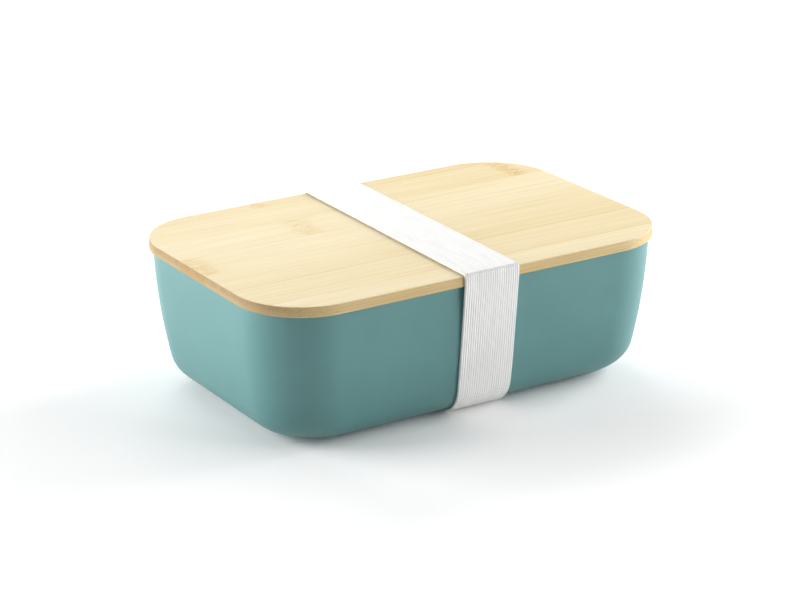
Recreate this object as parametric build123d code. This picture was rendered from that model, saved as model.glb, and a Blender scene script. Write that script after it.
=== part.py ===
from build123d import *
import os
from math import acos, atan2, cos, hypot, radians, sin

# A lunch box: a moulded tub, a bamboo lid of two plies of glued strips with a silicone seal,
# a partition that slides between the long walls, and an elastic band round the middle.
#
# Frame: +X along the box, +Y to its back, +Z up. The origin is the centre of the footprint,
# on the surface that the box stands on, which touches the underside of the band.
# Lengths are in millimetres, and each lean is the wall's angle from the vertical, in radians.

# Lid, top ply
LID_LENGTH = 185.0
LID_WIDTH = 122.1
LID_CORNER = 28.6
TOP_PLY = 4.2
LID_TOP_EDGE = 0.3
LID_LOWER_EDGE = 0.5

# Bamboo strips of both plies, whose joints are staggered by about half a strip
STRIP_WIDTH = 20.5
TOP_BACK_STRIP = 7.0
PLUG_BACK_STRIP = 14.2

# Lid, lower ply: the plug that drops inside the tub's rim
PLUG_PLY = 5.4
PLUG_GAP = 0.8
PLUG_EDGE = 0.6

# Silicone seal and its groove in the plug's side
GROOVE_DEPTH = 2.2
GROOVE_HEIGHT = 2.4
GROOVE_BELOW_RIM = 1.4
SEAL_LIP = 0.5
SEAL_LIP_HEIGHT = 0.6

# Tub
RIM_HEIGHT = 55.2
RIM_INSET = 1.5
RIM_EDGE = 0.5
WALL = 2.2
RIM_LEAN = radians(1.38)
FOOT_LEAN = radians(9.73)
BASE_LEAN = radians(85)
FOOT_RADIUS = 12.7
END_LEAN_RATIO = 1.15
CORNER_SHRINK = 0.58
RECESS_DEPTH = 0.5
RECESS_MARGIN = 5.0
WALL_STEPS = 3
FOOT_STEPS = 6

# Partition
DIVIDER_X = 24.0
DIVIDER_PLATE = 1.8
DIVIDER_FLANGE = 8.0
FLANGE_THICK = 1.2
DIVIDER_GAP = 0.3
DIVIDER_HEADROOM = 2.0
THUMB_RADIUS = 14.0
THUMB_DEPTH = 5.0

# Elastic band, with its ends overlapped on the back, below the lid
BAND_X = 2.35
BAND_WIDTH = 24.7
BAND_THICK = 0.9
BAND_GAP = 0.3
LAP_LENGTH = 18.0
LAP_BELOW_LID = 11.0

# Zigzag rows of thread across the overlap
ROW_SETBACK = 3.5
STITCHES_PER_ROW = 14
STITCH_ROW_WIDTH = 22.0
STITCH_LENGTH = 2.2
STITCH_TURN = 48.0
THREAD = 0.4
THREAD_SUNK = 0.15

# Levels
BASE_Z = BAND_GAP + BAND_THICK
RIM_Z = BASE_Z + RIM_HEIGHT
LID_TOP_Z = RIM_Z + TOP_PLY
PLUG_Z = RIM_Z - PLUG_PLY
PLUG_INSET = RIM_INSET + WALL + PLUG_GAP

# The wall's profile is one large arc from the rim down to the foot, where a small arc takes over.
FOOT_RISE = FOOT_RADIUS * (sin(BASE_LEAN) - sin(FOOT_LEAN))
WALL_RADIUS = (RIM_HEIGHT - FOOT_RISE) / (sin(FOOT_LEAN) - sin(RIM_LEAN))
FOOT_INSET = WALL_RADIUS * (cos(RIM_LEAN) - cos(FOOT_LEAN))

# Where the taut band, leaving the lid's lower edge, first touches the tub's wall.
TOUCH_ACROSS = WALL_RADIUS * cos(RIM_LEAN) + RIM_INSET
TOUCH_UP = WALL_RADIUS * sin(RIM_LEAN)
BAND_TOUCH_LEAN = atan2(TOUCH_UP, TOUCH_ACROSS) + acos(WALL_RADIUS / hypot(TOUCH_ACROSS, TOUCH_UP))


def rounded_outline(inset):
    """The lid's outline, moved inward."""
    return RectangleRounded(LID_LENGTH - 2 * inset, LID_WIDTH - 2 * inset, LID_CORNER - inset)


def profile_point(lean):
    """Inset from the rim's outline and height, where the tub's outer wall has this lean."""
    if lean <= FOOT_LEAN:
        inset = WALL_RADIUS * (cos(RIM_LEAN) - cos(lean))
        height = RIM_Z - WALL_RADIUS * (sin(lean) - sin(RIM_LEAN))
    else:
        inset = FOOT_INSET + FOOT_RADIUS * (cos(FOOT_LEAN) - cos(lean))
        height = BASE_Z + FOOT_RADIUS * (sin(BASE_LEAN) - sin(lean))
    return inset, height


def tub_section(lean, inward):
    """The tub's outline where its wall has this lean, moved inward along the wall's normal."""
    inset, height = profile_point(lean)
    side = inward * cos(lean)
    length = LID_LENGTH - 2 * (RIM_INSET + END_LEAN_RATIO * inset + side)
    width = LID_WIDTH - 2 * (RIM_INSET + inset + side)
    corner = LID_CORNER - RIM_INSET - CORNER_SHRINK * inset - side
    return Pos(0, 0, height + inward * sin(lean)) * RectangleRounded(length, width, corner)


def tub_form(top_lean, inward):
    """The solid within the tub's wall surface, moved inward, from one lean down to the base."""
    wall = [top_lean + (FOOT_LEAN - top_lean) * k / WALL_STEPS for k in range(WALL_STEPS + 1)]
    foot = [FOOT_LEAN + (BASE_LEAN - FOOT_LEAN) * k / FOOT_STEPS for k in range(FOOT_STEPS + 1)]
    upper = loft([tub_section(lean, inward) for lean in wall])
    lower = loft([tub_section(lean, inward) for lean in foot])
    return upper + lower


def make_tub():
    """One moulding, open at the top, with a rounded rim and a shallow recess under the base."""
    above_rim = RIM_LEAN - 1 / WALL_RADIUS
    base = tub_section(BASE_LEAN, 0)
    recess = extrude(offset(base, -RECESS_MARGIN), RECESS_DEPTH)
    tub = tub_form(RIM_LEAN, 0) - tub_form(above_rim, WALL) - recess
    rim = tub.faces().sort_by(Axis.Z)[-1]
    return fillet(rim.edges(), RIM_EDGE)


def make_top_ply():
    """The lid's visible board, with eased edges."""
    board = extrude(Pos(0, 0, RIM_Z) * rounded_outline(0), TOP_PLY)
    board = chamfer(board.faces().sort_by(Axis.Z)[-1].edges(), LID_TOP_EDGE)
    return chamfer(board.faces().sort_by(Axis.Z)[0].edges(), LID_LOWER_EDGE)


def outline_ring(outer_inset, inner_inset, low, high):
    """A flat ring between two insets of the lid's outline, from one level to another."""
    ring = rounded_outline(outer_inset) - rounded_outline(inner_inset)
    return extrude(Pos(0, 0, low) * ring, high - low)


def make_plug_ply():
    """The lid's lower board, with the seal's groove round its side."""
    plug = extrude(Pos(0, 0, PLUG_Z) * rounded_outline(PLUG_INSET), PLUG_PLY)
    plug = chamfer(plug.faces().sort_by(Axis.Z)[0].edges(), PLUG_EDGE)
    groove_top = RIM_Z - GROOVE_BELOW_RIM
    groove_floor = PLUG_INSET + GROOVE_DEPTH
    return plug - outline_ring(0, groove_floor, groove_top - GROOVE_HEIGHT, groove_top)


def cut_into_strips(ply, width, back_strip):
    """Cut a board into strips along X, the back one first. The front one is what is left."""
    strips = []
    back = width / 2
    front = back - back_strip
    while back > -width / 2:
        slab = Pos(0, (back + front) / 2, RIM_Z) * Box(LID_LENGTH, back - front, 4 * PLUG_PLY)
        strips.append(ply & slab)
        back = front
        front = max(front - STRIP_WIDTH, -width / 2)
    return strips


def make_seal():
    """Silicone ring: a root that fills the groove, and two lips that stand out of it."""
    top = RIM_Z - GROOVE_BELOW_RIM
    low = top - GROOVE_HEIGHT
    seal = outline_ring(PLUG_INSET, PLUG_INSET + GROOVE_DEPTH, low, top)
    for lip_low in (low, top - SEAL_LIP_HEIGHT):
        lip = outline_ring(PLUG_INSET - SEAL_LIP, PLUG_INSET + SEAL_LIP, lip_low, lip_low + SEAL_LIP_HEIGHT)
        seal += lip
    return seal


def cross_section(top_lean, *top_points):
    """The box's section across its length, from the outer wall's point of this lean to the base.

    The points, for the back half, close it above that. In the sketch, X is the part's Y and
    Y is its Z.
    """
    def wall_point(lean):
        inset, height = profile_point(lean)
        return LID_WIDTH / 2 - RIM_INSET - inset, height

    wall_middle = wall_point((top_lean + FOOT_LEAN) / 2)
    foot_middle = wall_point((FOOT_LEAN + BASE_LEAN) / 2)
    wall = ThreePointArc(wall_point(top_lean), wall_middle, wall_point(FOOT_LEAN))
    foot = ThreePointArc(wall @ 1, foot_middle, wall_point(BASE_LEAN))
    rest = Polyline(foot @ 1, (0, BASE_Z), (0, top_points[0][1]), *top_points, wall @ 0)
    half = make_face([wall, foot, rest])
    return half + mirror(half, Plane.YZ)


def slab_along_x(sketch, middle, thickness):
    """Extrude a YZ sketch to both sides of a place along the box."""
    return Pos(middle, 0, 0) * extrude(Plane.YZ * sketch, thickness / 2, both=True)


def make_divider():
    """A plate across the tub, with a flange that follows the walls and floor, and a thumb notch."""
    tub = cross_section(RIM_LEAN, (1, RIM_Z))
    outline = offset(tub, -(WALL + DIVIDER_GAP))
    inside_flange = offset(tub, -(WALL + DIVIDER_GAP + FLANGE_THICK))
    top = PLUG_Z - DIVIDER_HEADROOM
    above = Pos(0, top + RIM_HEIGHT / 2) * Rectangle(LID_WIDTH, RIM_HEIGHT)
    notch = Pos(0, top + THUMB_RADIUS - THUMB_DEPTH) * Circle(THUMB_RADIUS)
    plate = slab_along_x(outline - above - notch, DIVIDER_X, DIVIDER_PLATE)
    flange = slab_along_x(outline - inside_flange - above, DIVIDER_X, DIVIDER_FLANGE)
    return plate + flange


def lap_plane():
    """On the band's outer face at the back, at the lid's lower edge, with +Y down the band."""
    outward = (0, cos(BAND_TOUCH_LEAN), -sin(BAND_TOUCH_LEAN))
    corner = Plane(origin=(BAND_X, LID_WIDTH / 2, RIM_Z), x_dir=(1, 0, 0), z_dir=outward)
    return corner.offset(BAND_GAP + BAND_THICK)


def make_band():
    """A loop pulled tight round the lid and tub, with one end lapped over the other."""
    wrapped = cross_section(BAND_TOUCH_LEAN, (LID_WIDTH / 2, LID_TOP_Z), (LID_WIDTH / 2, RIM_Z))
    inside = offset(wrapped, BAND_GAP)
    outside = offset(wrapped, BAND_GAP + BAND_THICK)
    loop = slab_along_x(outside - inside, BAND_X, BAND_WIDTH)
    lap_middle = Pos(0, LAP_BELOW_LID + LAP_LENGTH / 2, BAND_THICK / 2)
    return loop + lap_plane() * lap_middle * Box(BAND_WIDTH, LAP_LENGTH, BAND_THICK)


def make_stitches():
    """Two zigzag rows across the overlap, each stitch a separate run of thread."""
    height = BAND_THICK - THREAD_SUNK + THREAD / 2
    pitch = STITCH_ROW_WIDTH / STITCHES_PER_ROW
    stitches = []
    for row in (LAP_BELOW_LID + ROW_SETBACK, LAP_BELOW_LID + LAP_LENGTH - ROW_SETBACK):
        for k in range(STITCHES_PER_ROW):
            across = (k + 0.5) * pitch - STITCH_ROW_WIDTH / 2
            turn = STITCH_TURN if k % 2 == 0 else -STITCH_TURN
            place = Pos(across, row, height) * Rot(0, 0, turn)
            stitches.append(lap_plane() * place * Box(STITCH_LENGTH, THREAD, THREAD))
    return Compound(children=stitches)


nodes = {
    "tub": make_tub(),
    "lid_seal": make_seal(),
    "divider": make_divider(),
    "elastic_band": make_band(),
    "band_stitches": make_stitches(),
}
for number, strip in enumerate(cut_into_strips(make_top_ply(), LID_WIDTH, TOP_BACK_STRIP), 1):
    nodes[f"lid_top_strip_{number}"] = strip
plug_width = LID_WIDTH - 2 * PLUG_INSET
for number, strip in enumerate(cut_into_strips(make_plug_ply(), plug_width, PLUG_BACK_STRIP), 1):
    nodes[f"lid_plug_strip_{number}"] = strip

os.makedirs("parts", exist_ok=True)
for name, solid in nodes.items():
    export_step(solid, f"parts/{name}.step")
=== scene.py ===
from math import acos, atan2, cos, hypot, pi, radians, sin

import bmesh
import bpy
from mathutils import Matrix, Vector


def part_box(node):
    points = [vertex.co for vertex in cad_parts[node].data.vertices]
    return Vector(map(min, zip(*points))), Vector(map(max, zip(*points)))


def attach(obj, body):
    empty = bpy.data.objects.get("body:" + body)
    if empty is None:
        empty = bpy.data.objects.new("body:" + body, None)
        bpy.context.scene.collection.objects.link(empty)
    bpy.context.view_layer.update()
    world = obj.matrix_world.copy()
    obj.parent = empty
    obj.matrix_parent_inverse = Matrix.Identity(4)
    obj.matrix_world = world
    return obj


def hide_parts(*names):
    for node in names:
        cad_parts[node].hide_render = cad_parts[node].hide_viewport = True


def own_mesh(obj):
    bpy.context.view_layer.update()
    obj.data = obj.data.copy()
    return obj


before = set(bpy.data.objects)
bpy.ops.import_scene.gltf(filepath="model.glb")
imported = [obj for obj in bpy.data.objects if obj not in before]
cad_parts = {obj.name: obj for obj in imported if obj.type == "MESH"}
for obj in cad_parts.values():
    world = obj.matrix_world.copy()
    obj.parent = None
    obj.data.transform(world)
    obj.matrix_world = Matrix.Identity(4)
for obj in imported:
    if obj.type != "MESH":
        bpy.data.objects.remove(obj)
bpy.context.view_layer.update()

MM = 0.001

# Places read from the frame
lid_low, lid_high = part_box("lid_top_strip_4")
HALF_LENGTH = lid_high.x
HALF_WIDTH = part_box("lid_top_strip_1")[1].y
RIM_Z = lid_low.z
LID_TOP_Z = lid_high.z
PLUG_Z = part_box("lid_plug_strip_1")[0].z
BASE_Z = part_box("tub")[0].z
BAND_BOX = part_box("elastic_band")
BAND_X = (BAND_BOX[0].x + BAND_BOX[1].x) / 2
BAND_WIDTH = BAND_BOX[1].x - BAND_BOX[0].x

# Shapes that no box gives, as the CAD part has them, with the lid's top edge a little softer
LID_CORNER = 28.6 * MM
RIM_INSET = 1.5 * MM
WALL = 2.2 * MM
RIM_EDGE = 0.5 * MM
RIM_LEAN = radians(1.38)
FOOT_LEAN = radians(9.73)
BASE_LEAN = radians(85)
FOOT_RADIUS = 12.7 * MM
END_LEAN_RATIO = 1.15
CORNER_SHRINK = 0.58
RECESS_DEPTH = 0.5 * MM
RECESS_MARGIN = 5.0 * MM
LID_TOP_EDGE = 0.35 * MM
LID_LOWER_EDGE = 0.5 * MM
PLUG_EDGE = 0.6 * MM
PLUG_INSET = RIM_INSET + WALL + 0.8 * MM
GROOVE_DEPTH = 2.2 * MM
GROOVE_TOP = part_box("lid_seal")[1].z
GROOVE_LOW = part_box("lid_seal")[0].z

# The tub's wall is one large arc above a small one at the foot
FOOT_RISE = FOOT_RADIUS * (sin(BASE_LEAN) - sin(FOOT_LEAN))
WALL_RADIUS = (RIM_Z - BASE_Z - FOOT_RISE) / (sin(FOOT_LEAN) - sin(RIM_LEAN))
FOOT_INSET = WALL_RADIUS * (cos(RIM_LEAN) - cos(FOOT_LEAN))


# ---------------------------------------------------------------- mesh helpers

def finished_object(name, bm, smooth_angle=40):
    """Turn a bmesh into an object with smooth shading that breaks at sharp edges."""
    bmesh.ops.recalc_face_normals(bm, faces=bm.faces)
    mesh = bpy.data.meshes.new(name)
    bm.to_mesh(mesh)
    bm.free()
    mesh.shade_smooth()
    mesh.set_sharp_from_angle(angle=radians(smooth_angle))
    piece = bpy.data.objects.new(name, mesh)
    bpy.context.scene.collection.objects.link(piece)
    return piece


def even_normals(piece):
    """Let the large faces set the shading, so that flats stay flat beside rounded edges."""
    weighted = piece.modifiers.new("even_normals", "WEIGHTED_NORMAL")
    weighted.keep_sharp = True


def rounded_rectangle(half_x, half_y, corner, z, corner_steps=16, side_steps=10):
    """A closed ring of points round a rectangle with rounded corners, at one height."""
    ring = []
    turns = ((1, 1, 0), (-1, 1, 90), (-1, -1, 180), (1, -1, 270))
    for sign_x, sign_y, start in turns:
        centre = Vector((sign_x * (half_x - corner), sign_y * (half_y - corner), z))
        for step in range(corner_steps + 1):
            angle = radians(start + 90 * step / corner_steps)
            ring.append(centre + corner * Vector((cos(angle), sin(angle), 0)))
        last = ring[-1]
        next_angle = radians(start + 90)
        following = ((-1, 1), (-1, -1), (1, -1), (1, 1))[start // 90]
        ahead = Vector((following[0] * (half_x - corner), following[1] * (half_y - corner), z))
        ahead += corner * Vector((cos(next_angle), sin(next_angle), 0))
        for step in range(1, side_steps):
            ring.append(last.lerp(ahead, step / side_steps))
    return ring


def lid_outline(inset, z, **steps):
    """The lid's outline moved inward, at one height."""
    return rounded_rectangle(HALF_LENGTH - inset, HALF_WIDTH - inset, LID_CORNER - inset, z, **steps)


def skin_rings(bm, rings, closed_section=False, capped=True):
    """Join rings of equal length with quads. A closed section joins the last ring to the first."""
    rows = [[bm.verts.new(point) for point in ring] for ring in rings]
    pairs = list(zip(rows, rows[1:]))
    if closed_section:
        pairs.append((rows[-1], rows[0]))
    for lower, upper in pairs:
        count = len(lower)
        for k in range(count):
            after = (k + 1) % count
            bm.faces.new((lower[k], lower[after], upper[after], upper[k]))
    if capped and not closed_section:
        bm.faces.new(list(reversed(rows[0])))
        bm.faces.new(rows[-1])
    return rows


# ---------------------------------------------------------------- tub

def wall_profile(lean):
    """Inset from the rim's outline and height, where the tub's outer wall has this lean."""
    if lean <= FOOT_LEAN:
        inset = WALL_RADIUS * (cos(RIM_LEAN) - cos(lean))
        height = RIM_Z - WALL_RADIUS * (sin(lean) - sin(RIM_LEAN))
    else:
        inset = FOOT_INSET + FOOT_RADIUS * (cos(FOOT_LEAN) - cos(lean))
        height = BASE_Z + FOOT_RADIUS * (sin(BASE_LEAN) - sin(lean))
    return inset, height


def tub_ring(lean, inward=0.0, sideways=0.0, height=None):
    """The tub's outline at one lean, moved in along the wall's normal, then level by sideways."""
    inset, z = wall_profile(lean)
    side = inward * cos(lean) + sideways
    if height is None:
        height = z + inward * sin(lean)
    return rounded_rectangle(
        HALF_LENGTH - RIM_INSET - END_LEAN_RATIO * inset - side,
        HALF_WIDTH - RIM_INSET - inset - side,
        LID_CORNER - RIM_INSET - CORNER_SHRINK * inset - side,
        height,
    )


def spread(first, last, count):
    """Evenly spaced values from first to last, both included."""
    return [first + (last - first) * k / count for k in range(count + 1)]


def make_tub():
    """The moulded tub, from its recessed base up the outside, over the rim and down the inside."""
    rings = []
    for sideways in (RECESS_MARGIN + 1.5 * MM, RECESS_MARGIN + 0.5 * MM):
        rings.append(tub_ring(BASE_LEAN, sideways=sideways, height=BASE_Z + RECESS_DEPTH))
    for turn in spread(0, 90, 4):
        edge = 0.5 * MM
        sideways = RECESS_MARGIN + edge * (1 - sin(radians(turn)))
        rings.append(tub_ring(BASE_LEAN, sideways=sideways,
                              height=BASE_Z + RECESS_DEPTH - edge * (1 - cos(radians(turn)))))
    rings.append(tub_ring(BASE_LEAN, sideways=RECESS_MARGIN - 0.4 * MM, height=BASE_Z))
    rings += [tub_ring(lean) for lean in spread(BASE_LEAN, FOOT_LEAN, 16)]
    # The wall stops where the rounded rim starts
    rim_start = RIM_LEAN + RIM_EDGE / WALL_RADIUS
    rings += [tub_ring(lean) for lean in spread(FOOT_LEAN, rim_start, 14)[1:]]
    for turn in spread(0, 90, 5)[1:]:
        sideways = RIM_EDGE * (1 - cos(radians(turn)))
        rings.append(tub_ring(RIM_LEAN, sideways=sideways,
                              height=RIM_Z - RIM_EDGE * (1 - sin(radians(turn)))))
    for turn in spread(90, 0, 5):
        sideways = WALL - RIM_EDGE * (1 - cos(radians(turn)))
        rings.append(tub_ring(RIM_LEAN, sideways=sideways,
                              height=RIM_Z - RIM_EDGE * (1 - sin(radians(turn)))))
    rings += [tub_ring(lean, inward=WALL) for lean in spread(rim_start, FOOT_LEAN, 14)[1:]]
    rings += [tub_ring(lean, inward=WALL) for lean in spread(FOOT_LEAN, BASE_LEAN, 14)[1:]]
    floor_z = rings[-1][0].z
    rings.append(tub_ring(BASE_LEAN, inward=WALL, sideways=2 * MM, height=floor_z))
    bm = bmesh.new()
    skin_rings(bm, rings)
    tub = finished_object("tub_shell", bm)
    even_normals(tub)
    return tub


# ---------------------------------------------------------------- lid

def top_ply_rings():
    """The visible board: rounded lower edge, side, rounded top edge."""
    rings = [lid_outline(LID_LOWER_EDGE + 0.3 * MM, RIM_Z)]
    for turn in spread(0, 90, 5):
        inset = LID_LOWER_EDGE * (1 - sin(radians(turn)))
        rings.append(lid_outline(inset, RIM_Z + LID_LOWER_EDGE * (1 - cos(radians(turn)))))
    for turn in spread(0, 90, 5):
        inset = LID_TOP_EDGE * (1 - cos(radians(turn)))
        rings.append(lid_outline(inset, LID_TOP_Z - LID_TOP_EDGE * (1 - sin(radians(turn)))))
    rings.append(lid_outline(LID_TOP_EDGE + 0.3 * MM, LID_TOP_Z))
    return rings


def plug_ply_rings():
    """The lower board: eased lower edge, and the groove for the seal in its side."""
    inset = PLUG_INSET
    floor = PLUG_INSET + GROOVE_DEPTH
    rings = [lid_outline(inset + PLUG_EDGE + 0.3 * MM, PLUG_Z)]
    for turn in spread(0, 90, 5):
        rings.append(lid_outline(inset + PLUG_EDGE * (1 - sin(radians(turn))),
                                 PLUG_Z + PLUG_EDGE * (1 - cos(radians(turn)))))
    lip = 0.15 * MM
    rings.append(lid_outline(inset, GROOVE_LOW - lip))
    rings.append(lid_outline(inset + lip, GROOVE_LOW))
    rings.append(lid_outline(floor, GROOVE_LOW))
    rings.append(lid_outline(floor, GROOVE_TOP))
    rings.append(lid_outline(inset + lip, GROOVE_TOP))
    rings.append(lid_outline(inset, GROOVE_TOP + lip))
    rings.append(lid_outline(inset, RIM_Z))
    return rings


def cut_strip(name, board, back, front):
    """One bamboo strip: the board between two planes across Y, closed at both cuts."""
    strip = board.copy()
    for level, normal in ((back, (0, 1, 0)), (front, (0, -1, 0))):
        geometry = strip.verts[:] + strip.edges[:] + strip.faces[:]
        cut = bmesh.ops.bisect_plane(strip, geom=geometry, dist=1e-7, plane_co=(0, level, 0),
                                     plane_no=normal, clear_outer=True)
        edges = [e for e in cut["geom_cut"] if isinstance(e, bmesh.types.BMEdge)]
        if edges:
            bmesh.ops.holes_fill(strip, edges=edges)
    piece = finished_object(name, strip, smooth_angle=35)
    even_normals(piece)
    return piece


def make_strips(prefix, rings):
    """Cut a board into the strips that the CAD part has, back one first."""
    board = bmesh.new()
    skin_rings(board, rings)
    strips = []
    for node in sorted(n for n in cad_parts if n.startswith(prefix)):
        low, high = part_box(node)
        strips.append((node, cut_strip(node + "_bamboo", board, high.y, low.y)))
    board.free()
    return strips


def make_seal():
    """A silicone ring: a root in the groove, and two soft lips that curve up."""
    reach = PLUG_INSET - 0.5 * MM
    root = PLUG_INSET + GROOVE_DEPTH
    section = [(root, GROOVE_LOW), (root, GROOVE_TOP)]
    for base in (GROOVE_TOP - 0.62 * MM, GROOVE_LOW + 0.08 * MM):
        section.append((PLUG_INSET + 0.35 * MM, base + 0.62 * MM))
        section.append((PLUG_INSET - 0.10 * MM, base + 0.60 * MM))
        section.append((reach + 0.12 * MM, base + 0.61 * MM))
        section.append((reach, base + 0.50 * MM))
        section.append((reach + 0.06 * MM, base + 0.36 * MM))
        section.append((PLUG_INSET - 0.08 * MM, base + 0.16 * MM))
        section.append((PLUG_INSET + 0.35 * MM, base))
    section = [(inset, min(z, GROOVE_TOP)) for inset, z in section]
    bm = bmesh.new()
    skin_rings(bm, [lid_outline(inset, z) for inset, z in section], closed_section=True)
    return finished_object("lid_seal_ring", bm, smooth_angle=50)


# ---------------------------------------------------------------- partition

DIVIDER_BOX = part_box("divider")
DIVIDER_X = (DIVIDER_BOX[0].x + DIVIDER_BOX[1].x) / 2
DIVIDER_GAP = 0.3 * MM
FLANGE_HALF = (DIVIDER_BOX[1].x - DIVIDER_BOX[0].x) / 2
FLANGE_THICK = 1.2 * MM
PLATE_HALF = 0.9 * MM
THUMB_RADIUS = 14.0 * MM
THUMB_DEPTH = 5.0 * MM


def wall_path(inward, top):
    """Points (y, z) down the back wall's inside, under the floor to the middle."""
    lean_at_top = RIM_LEAN
    while wall_profile(lean_at_top)[1] + inward * sin(lean_at_top) > top:
        lean_at_top += 1e-4
    path = []
    for lean in spread(lean_at_top, FOOT_LEAN, 10) + spread(FOOT_LEAN, BASE_LEAN, 14)[1:]:
        inset, z = wall_profile(lean)
        path.append((HALF_WIDTH - RIM_INSET - inset - inward * cos(lean), z + inward * sin(lean)))
    path[0] = (path[0][0], top)
    floor = path[-1][1]
    path += [(path[-1][0] * (1 - share), floor) for share in spread(0, 1, 4)[1:]]
    return path


def across(path):
    """The path for the back half and its mirror for the front, as one run from back to front."""
    return path + [(-y, z) for y, z in reversed(path[:-1])]


def make_divider():
    """A plate with a U-shaped flange that follows the tub's walls and floor."""
    top = DIVIDER_BOX[1].z
    outer = across(wall_path(WALL + DIVIDER_GAP, top))
    inner = across(wall_path(WALL + DIVIDER_GAP + FLANGE_THICK, top))
    notch_z = top + THUMB_RADIUS - THUMB_DEPTH
    notch_turn = acos((THUMB_RADIUS - THUMB_DEPTH) / THUMB_RADIUS)
    notch = [(THUMB_RADIUS * sin(a), notch_z - THUMB_RADIUS * cos(a))
             for a in spread(-notch_turn, notch_turn, 20)]
    bm = bmesh.new()

    def row(points, x):
        return [bm.verts.new((DIVIDER_X + x, y, z)) for y, z in points]

    outer_low, outer_high = row(outer, -FLANGE_HALF), row(outer, FLANGE_HALF)
    inner_low, inner_high = row(inner, -FLANGE_HALF), row(inner, FLANGE_HALF)
    plate_low, plate_high = row(inner, -PLATE_HALF), row(inner, PLATE_HALF)
    notch_low, notch_high = row(notch, -PLATE_HALF), row(notch, PLATE_HALF)
    strips = (
        (outer_low, outer_high), (inner_low, outer_low), (outer_high, inner_high),
        (plate_low, inner_low), (inner_high, plate_high), (notch_low, notch_high),
    )
    for one, other in strips:
        for k in range(len(one) - 1):
            bm.faces.new((one[k], one[k + 1], other[k + 1], other[k]))
    for side in (plate_low + notch_low, plate_high + notch_high):
        bm.faces.new(side)
    for end, notch_end in ((0, -1), (-1, 0)):
        bm.faces.new((outer_low[end], outer_high[end], inner_high[end], plate_high[end],
                      plate_low[end], inner_low[end]))
        bm.faces.new((plate_low[end], plate_high[end], notch_high[notch_end], notch_low[notch_end]))
    divider = finished_object("divider_panel", bm, smooth_angle=30)
    rounding = divider.modifiers.new("rounding", "BEVEL")
    rounding.width = 0.35 * MM
    rounding.segments = 3
    rounding.limit_method = "ANGLE"
    rounding.angle_limit = radians(40)
    even_normals(divider)
    return divider


# ---------------------------------------------------------------- elastic band

BAND_OUT = BAND_BOX[1].y - HALF_WIDTH
BAND_CLEARANCE = 0.06 * MM
BAND_THICK = BAND_OUT - BAND_CLEARANCE
# How far the band moves along X for each unit along Y, and for each unit down
BAND_SKEW = 0.018
BAND_DRIFT = 0.010
RIBS = 24
RIB_STEPS = 6
RIB_DEPTH = 0.17 * MM
LAP_TOP = 11.0 * MM
LAP_END = 29.0 * MM
LAP_RISE = 4.0 * MM

# Where the taut band, leaving the lid's lower edge, first touches the tub's wall
TOUCH_ACROSS = WALL_RADIUS * cos(RIM_LEAN) + RIM_INSET
TOUCH_UP = WALL_RADIUS * sin(RIM_LEAN)
TOUCH_LEAN = atan2(TOUCH_UP, TOUCH_ACROSS) + acos(WALL_RADIUS / hypot(TOUCH_ACROSS, TOUCH_UP))


def off_centre(y, z):
    """How far the band, put on a little askew, has moved along X at this place."""
    return BAND_SKEW * y + BAND_DRIFT * (LID_TOP_Z - z)


def band_side():
    """Points (y, z, normal y, normal z) that the band wraps, from the lid's middle down the back
    to the base's middle."""
    edge = LID_TOP_EDGE
    run_end = hypot(RIM_INSET + wall_profile(TOUCH_LEAN)[0], RIM_Z - wall_profile(TOUCH_LEAN)[1])
    points = [(y, LID_TOP_Z, 0, 1) for y in spread(0, HALF_WIDTH - edge, 30)[:-1]]
    for turn in spread(90, 0, 8):
        n = (cos(radians(turn)), sin(radians(turn)))
        points.append((HALF_WIDTH - edge + edge * n[0], LID_TOP_Z - edge + edge * n[1], *n))
    points += [(HALF_WIDTH, z, 1, 0) for z in spread(LID_TOP_Z - edge, RIM_Z, 6)[1:]]
    for lean in spread(0, TOUCH_LEAN, 2)[1:]:
        points.append((HALF_WIDTH, RIM_Z, cos(lean), -sin(lean)))
    n = (cos(TOUCH_LEAN), -sin(TOUCH_LEAN))
    for down in spread(0, LAP_TOP, 6)[1:] + spread(LAP_TOP, LAP_END, 18)[1:] + [run_end]:
        points.append((HALF_WIDTH - down * sin(TOUCH_LEAN), RIM_Z - down * cos(TOUCH_LEAN), *n))
    for lean in spread(TOUCH_LEAN, FOOT_LEAN, 10)[1:] + spread(FOOT_LEAN, BASE_LEAN, 20)[1:]:
        inset, z = wall_profile(lean)
        points.append((HALF_WIDTH - RIM_INSET - inset, z, cos(lean), -sin(lean)))
    last_y = points[-1][0]
    points.append((last_y, BASE_Z, 0, -1))
    points += [(y, BASE_Z, 0, -1) for y in spread(last_y, 0, 16)[1:]]
    return points


def band_line():
    """The band's whole run: up the back from the hidden end, round the front, under the base and
    up the back again, over its own start. Each point has the distance that it stands off."""
    back = band_side()
    front = [(-y, z, -ny, nz) for y, z, ny, nz in back]
    slope = (sin(TOUCH_LEAN), cos(TOUCH_LEAN))

    def down_run(point):
        return (HALF_WIDTH - point[0]) * slope[0] + (RIM_Z - point[1]) * slope[1]

    def nearest(distance):
        """The point of the straight run that is this far down it."""
        return min(range(len(back)),
                   key=lambda k: abs(down_run(back[k]) - distance) + abs(back[k][3] + slope[0]))

    start = nearest(LAP_END)
    stop = nearest(LAP_TOP)
    up_back = back[start::-1]
    up_again = back[:stop - 1:-1]
    line = [(*p, 0.0) for p in up_back + front[1:]]
    for p in up_again[1:]:
        share = min(max((LAP_END + LAP_RISE - down_run(p)) / LAP_RISE, 0), 1)
        line.append((*p, BAND_THICK * share * share * (3 - 2 * share)))
    return line


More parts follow.
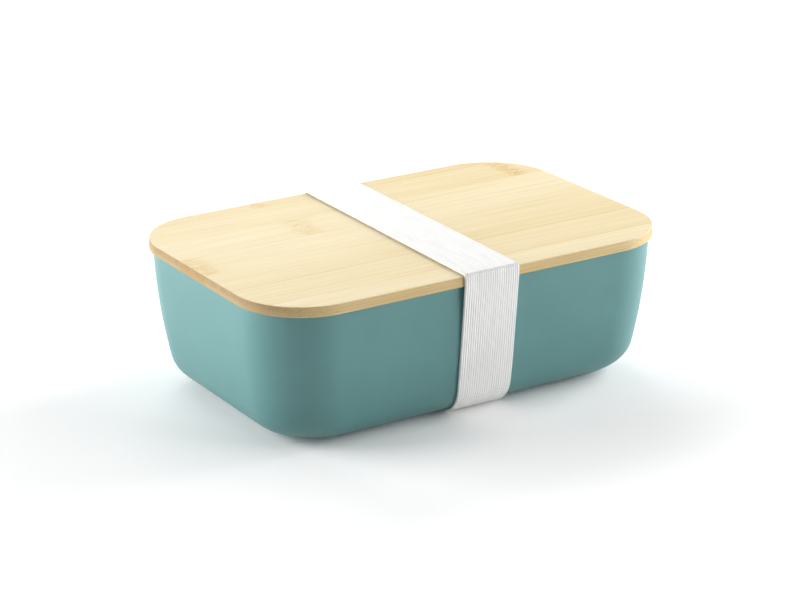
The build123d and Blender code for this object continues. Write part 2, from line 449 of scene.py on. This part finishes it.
def band_section():
    """Points (across, out) round the band: ribs on its outside, shallow ones on its inside."""
    half = BAND_WIDTH / 2
    rounding = 0.3 * MM
    curl = 0.26 * MM
    section = []
    steps = RIBS * RIB_STEPS
    for k in range(steps + 1):
        share = k / steps
        arch = abs(sin(pi * share * RIBS)) ** 0.7
        from_edge = min(share, 1 - share) * BAND_WIDTH
        edge_drop = rounding * max(1 - from_edge / (0.7 * MM), 0) ** 2
        section.append((half * (2 * share - 1), BAND_THICK - RIB_DEPTH * (1 - arch) - edge_drop))
    inner_steps = RIBS * 2
    for k in range(inner_steps + 1):
        share = 1 - k / inner_steps
        arch = 0 if k % 2 == 0 else 1
        from_edge = min(share, 1 - share) * BAND_WIDTH
        edge_rise = curl * max(1 - from_edge / (1.1 * MM), 0) ** 2
        section.append((half * (2 * share - 1), 0.08 * MM * (1 - arch) + edge_rise))
    return section


def make_band():
    """The woven loop, with UVs in millimetres: U across the band and V along it."""
    line = band_line()
    section = band_section()
    bm = bmesh.new()
    uv_layer = bm.loops.layers.uv.new("along")
    rows = []
    along = [0.0]
    for before, after in zip(line, line[1:]):
        stand = BAND_CLEARANCE + BAND_THICK / 2
        a = (before[0] + before[2] * (stand + before[4]), before[1] + before[3] * (stand + before[4]))
        b = (after[0] + after[2] * (stand + after[4]), after[1] + after[3] * (stand + after[4]))
        along.append(along[-1] + hypot(b[0] - a[0], b[1] - a[1]))
    for y, z, normal_y, normal_z, lift in line:
        row = []
        for sideways, out in section:
            stand = BAND_CLEARANCE + lift + out
            place_y = y + normal_y * stand
            place_z = z + normal_z * stand
            row.append(bm.verts.new((BAND_X + sideways + off_centre(place_y, place_z), place_y, place_z)))
        rows.append(row)
    count = len(section)
    for r in range(len(rows) - 1):
        for k in range(count):
            after = (k + 1) % count
            face = bm.faces.new((rows[r][k], rows[r][after], rows[r + 1][after], rows[r + 1][k]))
            corners = ((k, r), (after, r), (after, r + 1), (k, r + 1))
            for loop, (column, level) in zip(face.loops, corners):
                loop[uv_layer].uv = (section[column][0] / MM, along[level] / MM)
    for end, flip in ((rows[0], True), (rows[-1], False)):
        bm.faces.new(list(reversed(end)) if flip else end)
    band = finished_object("elastic_webbing", bm, smooth_angle=60)
    return band, along[-1]


STITCHES_PER_ROW = 14
STITCH_ROW_WIDTH = 22.0 * MM
STITCH_LENGTH = 2.2 * MM
STITCH_TURN = radians(48)
THREAD_RADIUS = 0.2 * MM
ROW_SETBACK = 3.5 * MM


def make_stitches():
    """Zigzag thread over the lap: each stitch arches out of the webbing and dives back in."""
    down = Vector((0, -sin(TOUCH_LEAN), -cos(TOUCH_LEAN)))
    outward = Vector((0, cos(TOUCH_LEAN), -sin(TOUCH_LEAN)))
    surface = BAND_CLEARANCE + 2 * BAND_THICK
    bm = bmesh.new()
    pitch = STITCH_ROW_WIDTH / STITCHES_PER_ROW
    sides = 8
    for row_down in (LAP_TOP + ROW_SETBACK, LAP_END - ROW_SETBACK):
        for k in range(STITCHES_PER_ROW):
            turn = STITCH_TURN if k % 2 == 0 else -STITCH_TURN
            across_mid = (k + 0.5) * pitch - STITCH_ROW_WIDTH / 2
            along_stitch = Vector((cos(turn), 0, 0)) + sin(turn) * down
            middle = Vector((BAND_X + across_mid, HALF_WIDTH, RIM_Z)) + down * row_down
            middle.x += off_centre(middle.y, middle.z)
            rings = []
            for share in spread(-1, 1, 8):
                height = surface + THREAD_RADIUS * (0.9 - 1.8 * abs(share) ** 3)
                centre = middle + along_stitch * (share * STITCH_LENGTH / 2) + outward * height
                side_way = along_stitch.cross(outward).normalized()
                radius = THREAD_RADIUS * (1 - 0.25 * abs(share))
                rings.append([centre + radius * (cos(a) * side_way + sin(a) * outward)
                              for a in spread(0, 2 * pi, sides)[:-1]])
            skin_rings(bm, rings)
    return finished_object("band_thread", bm, smooth_angle=80)


# ---------------------------------------------------------------- materials

class Graph:
    """A material's node tree, built by short calls. Values are sockets or numbers."""

    def __init__(self, name):
        self.material = bpy.data.materials.new(name)
        self.material.use_nodes = True
        self.tree = self.material.node_tree
        self.shader = self.tree.nodes["Principled BSDF"]

    def put(self, socket, value):
        if isinstance(value, bpy.types.NodeSocket):
            self.tree.links.new(value, socket)
        else:
            socket.default_value = value

    def node(self, kind, inputs=None, **settings):
        made = self.tree.nodes.new(kind)
        for key, value in settings.items():
            setattr(made, key, value)
        for key, value in (inputs or {}).items():
            self.put(made.inputs[key], value)
        return made

    def math(self, operation, a, b=0.0, clamp=False):
        return self.node("ShaderNodeMath", {0: a, 1: b}, operation=operation, use_clamp=clamp).outputs[0]

    def ramp(self, value, low, high, to_low=0.0, to_high=1.0):
        """The value mapped smoothly from low..high to another range, and held at its ends."""
        made = self.node("ShaderNodeMapRange", {0: value, 1: low, 2: high, 3: to_low, 4: to_high},
                         interpolation_type="SMOOTHSTEP")
        return made.outputs[0]

    def vector(self, x, y, z):
        return self.node("ShaderNodeCombineXYZ", {0: x, 1: y, 2: z}).outputs[0]

    def stretched(self, x, y, z, along, across, up):
        """A place whose axes are scaled apart, for grain that runs one way."""
        return self.vector(self.math("MULTIPLY", x, along), self.math("MULTIPLY", y, across),
                           self.math("MULTIPLY", z, up))

    def noise(self, vector, scale=1.0, detail=3.0, roughness=0.55, distortion=0.0):
        made = self.node("ShaderNodeTexNoise", {"Vector": vector, "Scale": scale, "Detail": detail,
                                                "Roughness": roughness, "Distortion": distortion})
        return made.outputs[0]

    def cells(self, vector, scale):
        """Distance from the middles of irregular cells."""
        made = self.node("ShaderNodeTexVoronoi", {"Vector": vector, "Scale": scale, "Randomness": 1.0},
                         feature="F1")
        return made.outputs["Distance"]

    def mix(self, share, a, b):
        made = self.node("ShaderNodeMix", data_type="RGBA", blend_type="MIX")
        for socket, value in ((made.inputs[0], share), (made.inputs[6], a), (made.inputs[7], b)):
            self.put(socket, (*value, 1.0) if isinstance(value, tuple) and len(value) == 3 else value)
        return made.outputs[2]

    def place(self):
        """X, Y and Z in the part's frame, in millimetres."""
        coordinates = self.node("ShaderNodeTexCoord").outputs["Object"]
        split = self.node("ShaderNodeSeparateXYZ", {0: coordinates})
        return [self.math("MULTIPLY", axis, 1000.0) for axis in split.outputs]

    def normal(self):
        geometry = self.node("ShaderNodeNewGeometry")
        return self.node("ShaderNodeSeparateXYZ", {0: geometry.outputs["Normal"]}).outputs

    def finish(self, color, roughness, height=None, height_mm=0.05, **constants):
        """Wire the shader. Height is 0 to 1, and stands for height_mm of relief."""
        self.put(self.shader.inputs["Base Color"], color)
        self.put(self.shader.inputs["Roughness"], roughness)
        if height is not None:
            bump = self.node("ShaderNodeBump",
                             {"Height": height, "Strength": 1.0, "Distance": height_mm * MM})
            self.put(self.shader.inputs["Normal"], bump.outputs[0])
        for key, value in constants.items():
            self.shader.inputs[key.replace("_", " ")].default_value = value
        return self.material


# Bamboo, from the sanded face to the open ends of its fibres
PALE = (0.700, 0.600, 0.372)
HONEY = (0.640, 0.505, 0.255)
AMBER = (0.470, 0.325, 0.140)
CREAM = (0.750, 0.665, 0.450)
SIDE_CUT = (0.525, 0.350, 0.132)
END_CUT = (0.385, 0.278, 0.132)
END_SPECK = (0.180, 0.105, 0.046)
GLUE_LINE = (0.420, 0.270, 0.110)
KNUCKLE_TAN = (0.590, 0.410, 0.155)
KNUCKLE_SPECK = (0.340, 0.195, 0.065)


def bamboo(name, seed, low, high, tones, front_glue, knuckle=None):
    """One strip of flat-pressed bamboo: fibres along X, a slow change of tone, a glue line at its
    front edge, an optional knuckle, and end grain where a cut faces X. Tones are shares of honey
    at the back and the front edge, on the left and then on the right."""
    g = Graph(name)
    x, y, z = g.place()
    back, front = high.y / MM, low.y / MM
    seeded = g.math("ADD", y, seed * 37.0)

    def streaks(along, across, **settings):
        return g.noise(g.stretched(x, seeded, z, along, across, across), **settings)

    # Slow random tone, and the change from edge to edge and from end to end that is listed for each strip;
    # most top strips are darker towards the right end
    broad = streaks(0.010, 0.13, detail=2.0)
    soft = streaks(0.013, 0.50, detail=3.0, roughness=0.6)
    left = g.ramp(y, front, back, tones[1], tones[0])
    right = g.ramp(y, front, back, tones[3], tones[2])
    change = g.math("MULTIPLY", g.math("SUBTRACT", right, left), g.ramp(x, -70.0, 70.0))
    share = g.math("ADD", g.math("ADD", left, change), g.ramp(broad, 0.3, 0.7, -0.18, 0.18))
    share = g.math("ADD", share, g.ramp(soft, 0.3, 0.7, -0.18, 0.22), clamp=True)
    color = g.mix(share, PALE, HONEY)

    # Fibres: thin darker lines, pale ones between them, and short fine pores
    threads = streaks(0.011, 1.5, detail=3.0, roughness=0.6)
    fine = streaks(0.06, 5.5, detail=2.0)
    color = g.mix(g.ramp(threads, 0.54, 0.74, 0.0, 0.36), color, AMBER)
    color = g.mix(g.ramp(threads, 0.26, 0.44, 0.30, 0.0), color, CREAM)
    color = g.mix(g.ramp(fine, 0.50, 0.76, 0.0, 0.24), color, AMBER)

    # Glue line along the front edge, fainter in places
    wander = g.math("MULTIPLY", g.math("SUBTRACT", soft, 0.5), 0.5)
    to_front = g.math("ADD", g.math("SUBTRACT", y, front), wander)
    patchy = g.noise(g.vector(g.math("MULTIPLY", x, 0.03), seed * 5.0, 0.0), detail=2.0)
    glue = g.math("MULTIPLY", g.ramp(to_front, 0.1, 0.9, 1.0, 0.0),
                  g.ramp(patchy, 0.35, 0.65, 0.4 * front_glue, front_glue))
    color = g.mix(glue, color, GLUE_LINE)

    inside = 0.0
    if knuckle is not None:
        middle, half, depth = knuckle
        bend = g.noise(g.vector(0.0, g.math("MULTIPLY", seeded, 0.15), 3.0), detail=2.0)
        ragged = g.noise(g.stretched(x, seeded, z, 0.40, 0.75, 1.0), detail=4.0)
        bowed = g.math("ADD", x, g.math("MULTIPLY", g.math("SUBTRACT", bend, 0.5), 9.0))
        away = g.math("ABSOLUTE", g.math("SUBTRACT", bowed, middle))
        away = g.math("ADD", away, g.math("MULTIPLY", g.math("SUBTRACT", ragged, 0.5), 7.0))
        inside = g.ramp(away, half - 3.0, half + 2.6, 1.0, 0.0)
        halo = g.ramp(away, half, half + 10.0, 1.0, 0.0)
        uneven = g.noise(g.stretched(x, seeded, 7.0, 0.22, 0.40, 1.0), detail=3.0)
        blotch = g.ramp(uneven, 0.36, 0.62, 0.25, 1.0)
        dots = g.cells(g.stretched(x, seeded, 0.0, 0.55, 0.8, 1.0), 1.0)
        dots = g.math("MULTIPLY", g.ramp(dots, 0.12, 0.40, 1.0, 0.0), g.ramp(ragged, 0.42, 0.62))
        color = g.mix(g.math("MULTIPLY", halo, 0.22 * depth), color, HONEY)
        color = g.mix(g.math("MULTIPLY", g.math("MULTIPLY", inside, blotch), 0.62 * depth, clamp=True),
                      color, KNUCKLE_TAN)
        color = g.mix(g.math("MULTIPLY", g.math("MULTIPLY", inside, dots), 0.60 * depth, clamp=True),
                      color, KNUCKLE_SPECK)

    # The cut along the fibres, round the lid's edge, is deeper in colour than the sanded face
    normal_x, _, normal_z = g.normal()
    side = g.ramp(g.math("ABSOLUTE", normal_z), 0.25, 0.75, 1.0, 0.0)
    side_lines = g.ramp(streaks(0.014, 2.4, detail=3.0), 0.35, 0.65, 0.35, 0.85)
    color = g.mix(g.math("MULTIPLY", side, side_lines), color, SIDE_CUT)

    # The cut across the fibres: bundles show as dark specks in a browner ground
    end = g.ramp(g.math("ABSOLUTE", normal_x), 0.35, 0.95)
    bundles = g.cells(g.stretched(x, seeded, z, 0.3, 1.0, 1.4), 1.9)
    speck = g.ramp(bundles, 0.12, 0.42, 1.0, 0.0)
    end_cloud = g.noise(g.stretched(0.0, seeded, z, 1.0, 0.25, 0.3), detail=2.0)
    end_tone = g.ramp(end_cloud, 0.35, 0.65, 0.25, 0.8)
    end_color = g.mix(g.math("MULTIPLY", speck, end_tone), END_CUT, END_SPECK)
    # It is burnished darker towards the top edge, and where it cuts through a knuckle
    burnish = g.math("MULTIPLY", g.ramp(z, RIM_Z / MM + 0.8, LID_TOP_Z / MM - 0.8, 0.0, 0.50),
                     g.ramp(end_tone, 0.25, 0.8, 0.5, 1.0))
    end_color = g.mix(burnish, end_color, END_SPECK)
    end_color = g.mix(g.math("MULTIPLY", inside, 0.50), end_color, KNUCKLE_SPECK)
    color = g.mix(g.math("MULTIPLY", end, 0.95), color, end_color)

    relief = g.math("ADD", g.math("MULTIPLY", threads, 0.5), g.math("MULTIPLY", fine, 0.5))
    relief = g.math("SUBTRACT", relief, g.math("MULTIPLY", g.math("MULTIPLY", speck, end), 0.6))
    relief = g.math("SUBTRACT", relief, g.math("MULTIPLY", glue, 0.5))
    roughness = g.ramp(threads, 0.3, 0.7, 0.44, 0.60)
    roughness = g.math("ADD", roughness, g.math("MULTIPLY", end, 0.15))
    return g.finish(color, roughness, relief, height_mm=0.035, Specular_IOR_Level=0.35)


# The plastic is painted darker up to this height, by at most this share. It stands in for shade
# at the foot, and isn't the plastic's own colour.
FOOT_SHADE_LOW = 3.0
FOOT_SHADE_HIGH = 34.0
FOOT_SHADE = 0.16


def moulded_plastic(name, color, seed, roughness=0.42):
    """Matt moulded plastic: faint clouding, painted shade at the foot, a fine spark-eroded texture,
    and hairline scuffs that are a little rougher."""
    g = Graph(name)
    x, y, z = g.place()
    place = g.vector(g.math("ADD", x, seed), y, z)
    cloud = g.noise(place, scale=0.035, detail=3.0)
    grain = g.noise(place, scale=3.2, detail=3.0, roughness=0.6)
    flow = g.noise(g.stretched(x, y, z, 0.02, 0.02, 0.12), detail=2.0)
    darker = tuple(c * 0.972 for c in color)
    lighter = tuple(c * 1.02 + 0.002 for c in color)
    tint = g.mix(g.ramp(cloud, 0.35, 0.65), darker, lighter)
    tint = g.mix(g.ramp(flow, 0.45, 0.7, 0.0, 0.35), tint, lighter)
    shade = g.ramp(z, FOOT_SHADE_LOW, FOOT_SHADE_HIGH, FOOT_SHADE, 0.0)
    tint = g.mix(shade, tint, tuple(c * 0.25 for c in color))
    tint = g.mix(g.ramp(grain, 0.62, 0.8, 0.0, 0.18), tint, tuple(c * 0.85 for c in color))
    along_scuff = g.math("ADD", x, g.math("MULTIPLY", z, 0.6))
    across_scuff = g.math("SUBTRACT", z, g.math("MULTIPLY", x, 0.35))
    scuff_place = g.stretched(along_scuff, y, across_scuff, 0.05, 0.05, 3.0)
    scuffs = g.ramp(g.noise(scuff_place, detail=1.0), 0.70, 0.78)
    rough = g.math("ADD", g.ramp(cloud, 0.3, 0.7, roughness - 0.03, roughness + 0.04),
                   g.math("MULTIPLY", scuffs, 0.06))
    return g.finish(tint, rough, grain, height_mm=0.008, Specular_IOR_Level=0.50)


def silicone(name):
    """Soft translucent silicone with a faint moulding texture."""
    g = Graph(name)
    x, y, z = g.place()
    place = g.vector(x, y, z)
    cloud = g.noise(place, scale=0.12, detail=2.0)
    grain = g.noise(place, scale=6.0, detail=2.0)
    color = g.mix(g.ramp(cloud, 0.3, 0.7), (0.74, 0.76, 0.75), (0.82, 0.82, 0.80))
    return g.finish(color, g.ramp(grain, 0.3, 0.7, 0.34, 0.42), grain, height_mm=0.01,
                    Subsurface_Weight=0.35, Subsurface_Scale=0.002, Specular_IOR_Level=0.4)


WEFT_PITCH_MM = 0.72


def webbing(name):
    """White woven elastic: the ribs are real, the weft across them and the yarn are relief; painted shade
    darkens the grooves and the weft's troughs.
    """
    g = Graph(name)
    uv = g.node("ShaderNodeUVMap", uv_map="along").outputs[0]
    split = g.node("ShaderNodeSeparateXYZ", {0: uv})
    across_mm, along_mm = split.outputs[0], split.outputs[1]
    rib = g.math("MULTIPLY", across_mm, RIBS / (BAND_WIDTH / MM))
    phase = g.math("MULTIPLY", g.math("FLOOR", rib), 0.5)
    weft_turn = g.math("MULTIPLY", g.math("ADD", g.math("DIVIDE", along_mm, WEFT_PITCH_MM), phase), 2 * pi)
    weft = g.math("ADD", g.math("MULTIPLY", g.math("SINE", weft_turn), 0.5), 0.5)
    groove = g.math("ABSOLUTE", g.math("SUBTRACT", g.math("FRACT", rib), 0.5))
    groove = g.ramp(groove, 0.28, 0.5)
    yarn = g.noise(g.stretched(across_mm, along_mm, 0.0, 9.0, 2.5, 1.0), detail=4.0, roughness=0.7)
    slub = g.noise(g.stretched(across_mm, along_mm, 5.0, 0.9, 0.06, 1.0), detail=2.0)
    color = g.mix(g.ramp(slub, 0.35, 0.65), (0.81, 0.81, 0.80), (0.865, 0.86, 0.845))
    # Painted shade: the grooves between the ribs are darker.
    color = g.mix(g.math("MULTIPLY", groove, 0.22), color, (0.60, 0.59, 0.57))
    # Painted shade: the troughs of the weft are a little darker.
    color = g.mix(g.ramp(weft, 0.0, 0.45, 0.07, 0.0), color, (0.62, 0.61, 0.59))
    color = g.mix(g.ramp(yarn, 0.5, 0.8, 0.0, 0.12), color, (0.66, 0.65, 0.64))
    relief = g.math("ADD", g.math("MULTIPLY", weft, 0.6), g.math("MULTIPLY", yarn, 0.4))
    relief = g.math("SUBTRACT", relief, g.math("MULTIPLY", groove, 0.5))
    return g.finish(color, g.ramp(yarn, 0.3, 0.7, 0.78, 0.92), relief, height_mm=0.09,
                    Sheen_Weight=0.25, Sheen_Roughness=0.5, Specular_IOR_Level=0.25)


def thread(name):
    """White polyester thread, its plies twisted round it, with painted shade between them."""
    g = Graph(name)
    x, y, z = g.place()
    turns = g.math("ADD", g.math("MULTIPLY", x, 1.6), g.math("MULTIPLY", z, 2.4))
    twist = g.math("MULTIPLY", turns, 2 * pi)
    ply = g.math("ADD", g.math("MULTIPLY", g.math("SINE", twist), 0.5), 0.5)
    # Painted shade: the troughs between the plies are darker.
    color = g.mix(ply, (0.66, 0.66, 0.65), (0.86, 0.86, 0.85))
    return g.finish(color, 0.6, ply, height_mm=0.05, Sheen_Weight=0.2, Specular_IOR_Level=0.3)


# The floor glows faintly near the part and strongly far off, between these distances in millimetres
GLOW_NEAR = 300.0
GLOW_FAR = 2500.0


def floor_surface(name):
    """Plain pale studio floor, very slightly mottled. Its glow keeps it white where the lights fade."""
    g = Graph(name)
    x, y, z = g.place()
    cloud = g.noise(g.vector(x, y, z), scale=0.004, detail=2.0)
    away = g.math("SQRT", g.math("ADD", g.math("MULTIPLY", x, x), g.math("MULTIPLY", y, y)))
    g.put(g.shader.inputs["Emission Strength"], g.ramp(away, GLOW_NEAR, GLOW_FAR, 0.03, 0.9))
    return g.finish(g.mix(cloud, (0.92, 0.92, 0.92), (0.94, 0.94, 0.94)), 0.9, Specular_IOR_Level=0.1,
                    Emission_Color=(1.0, 1.0, 1.0, 1.0))


def give(piece, material):
    piece.data.materials.clear()
    piece.data.materials.append(material)


# ---------------------------------------------------------------- assembly

def add_piece(piece, material, body, node):
    give(piece, material)
    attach(piece, body)
    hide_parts(node)


TEAL = (0.0945, 0.242, 0.240)

# Where each knuckle is along X and half its width, in millimetres, and how dark it is
KNUCKLES = {
    "lid_top_strip_1": (-33.3, 3.4, 1.15), "lid_top_strip_2": (80.0, 3.6, 2.0),
    "lid_top_strip_3": (-32.0, 5.0, 0.8), "lid_top_strip_4": (-91.0, 5.6, 1.2),
    "lid_plug_strip_2": (-52.0, 3.5, 1.0), "lid_plug_strip_3": (38.0, 3.0, 0.9),
    "lid_plug_strip_5": (-8.0, 4.0, 1.1),
}
# Shares of honey (left back, left front, right back, right front), and the front glue line
STRIP_TONES = {
    "lid_top_strip_1": ((0.50, 0.50, 0.90, 1.00), 0.35),
    "lid_top_strip_2": ((0.35, 0.30, 0.60, 0.70), 0.12),
    "lid_top_strip_3": ((0.10, 0.05, 0.15, 0.05), 0.40),
    "lid_top_strip_4": ((0.00, 0.15, 0.20, 0.40), 0.12),
    "lid_top_strip_5": ((0.35, 0.55, 0.45, 0.95), 0.45),
    "lid_top_strip_6": ((0.30, 0.55, 0.50, 0.75), 0.40),
    "lid_top_strip_7": ((0.00, 0.30, 0.05, 0.20), 0.00),
    "lid_plug_strip_1": ((0.50, 0.70, 0.60, 0.80), 0.30),
    "lid_plug_strip_2": ((0.10, 0.20, 0.10, 0.30), 0.30),
    "lid_plug_strip_3": ((0.80, 0.90, 0.60, 0.90), 0.35),
    "lid_plug_strip_4": ((0.30, 0.20, 0.30, 0.10), 0.25),
    "lid_plug_strip_5": ((0.40, 0.60, 0.50, 0.70), 0.35),
    "lid_plug_strip_6": ((0.10, 0.10, 0.20, 0.10), 0.00),
}

add_piece(make_tub(), moulded_plastic("teal_plastic", TEAL, 0.0), "tub", "tub")
for rings, prefix in ((top_ply_rings(), "lid_top_strip"), (plug_ply_rings(), "lid_plug_strip")):
    for number, (node, strip) in enumerate(make_strips(prefix, rings)):
        low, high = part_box(node)
        seed = number + (11 if prefix == "lid_plug_strip" else 0)
        material = bamboo(node + "_wood", seed, low, high, *STRIP_TONES[node], KNUCKLES.get(node))
        add_piece(strip, material, "lid", node)
add_piece(make_seal(), silicone("white_silicone"), "lid", "lid_seal")
add_piece(make_divider(), moulded_plastic("teal_divider_plastic", TEAL, 60.0, 0.45), "divider", "divider")

band, band_length = make_band()
add_piece(band, webbing("white_elastic"), "band", "elastic_band")
stitches = make_stitches()
add_piece(stitches, thread("white_thread"), "band", "band_stitches")

# The band and its stitches each get a mesh of their own
for piece in (band, stitches):
    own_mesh(piece)


# ---------------------------------------------------------------- studio

def make_floor():
    """A pale floor, so wide that its edges are never seen."""
    bm = bmesh.new()
    bmesh.ops.create_grid(bm, x_segments=8, y_segments=8, size=30.0)
    floor = finished_object("studio_floor", bm)
    give(floor, floor_surface("pale_floor"))


def softbox(name, place, aim, size, watts):
    """A rectangular area light that faces a point."""
    data = bpy.data.lights.new(name, "AREA")
    data.shape = "RECTANGLE"
    data.size, data.size_y = size
    data.energy = watts
    light = bpy.data.objects.new(name, data)
    light.location = place
    light.rotation_mode = "QUATERNION"
    light.rotation_quaternion = (Vector(aim) - Vector(place)).to_track_quat("-Z", "Y")
    bpy.context.scene.collection.objects.link(light)


def make_lights():
    """Soft boxes on both sides and behind, so that the corner nearest the camera stays darkest."""
    aim = (0, 0, 0.03)
    softbox("left_back_box", (-0.9, 0.6, 0.35), aim, (0.8, 0.7), 19.1)
    softbox("right_box", (1.2, -0.1, 0.5), aim, (0.8, 0.8), 19.8)
    softbox("right_front_box", (0.9, -0.9, 0.5), aim, (0.8, 0.8), 10.9)
    softbox("back_box", (0.2, 1.2, 0.8), aim, (1.2, 0.8), 13.1)
    softbox("right_back_box", (1.0, 0.7, 0.45), aim, (0.8, 0.8), 3.5)
    world = bpy.data.worlds.new("studio")
    world.use_nodes = True
    nodes, links = world.node_tree.nodes, world.node_tree.links
    nodes["Background"].inputs["Color"].default_value = (1, 1, 1, 1)
    # White up to just above the horizon, then dark, so that the soft boxes alone shape the light
    up = nodes.new("ShaderNodeSeparateXYZ")
    links.new(nodes.new("ShaderNodeTexCoord").outputs["Generated"], up.inputs[0])
    fade = nodes.new("ShaderNodeMapRange")
    for socket, value in zip(range(1, 5), (0.0, 0.05, 0.9, 0.02)):
        fade.inputs[socket].default_value = value
    links.new(up.outputs["Z"], fade.inputs[0])
    links.new(fade.outputs[0], nodes["Background"].inputs["Strength"])
    bpy.context.scene.world = world
    bpy.context.scene.view_settings.view_transform = "Standard"


def make_camera():
    """A long lens, looking down at the long side and the left end."""
    azimuth, elevation, roll = radians(-32.1), radians(20.19), radians(-0.33)
    distance = 0.998
    aim = Vector((0, 0, (BASE_Z + RIM_Z) / 2))
    back = Vector((sin(azimuth) * cos(elevation), -cos(azimuth) * cos(elevation), sin(elevation)))
    data = bpy.data.cameras.new("camera")
    data.sensor_width = 36.0
    data.lens = 111.85
    data.shift_x = -0.0034
    data.shift_y = 0.0045
    data.clip_start, data.clip_end = 0.05, 20
    camera = bpy.data.objects.new("camera", data)
    camera.location = aim + back * distance
    camera.rotation_mode = "QUATERNION"
    turn = (-back).to_track_quat("-Z", "Y")
    camera.rotation_quaternion = turn @ Matrix.Rotation(roll, 4, "Z").to_quaternion()
    bpy.context.scene.collection.objects.link(camera)
    bpy.context.scene.camera = camera


make_floor()
make_lights()
make_camera()
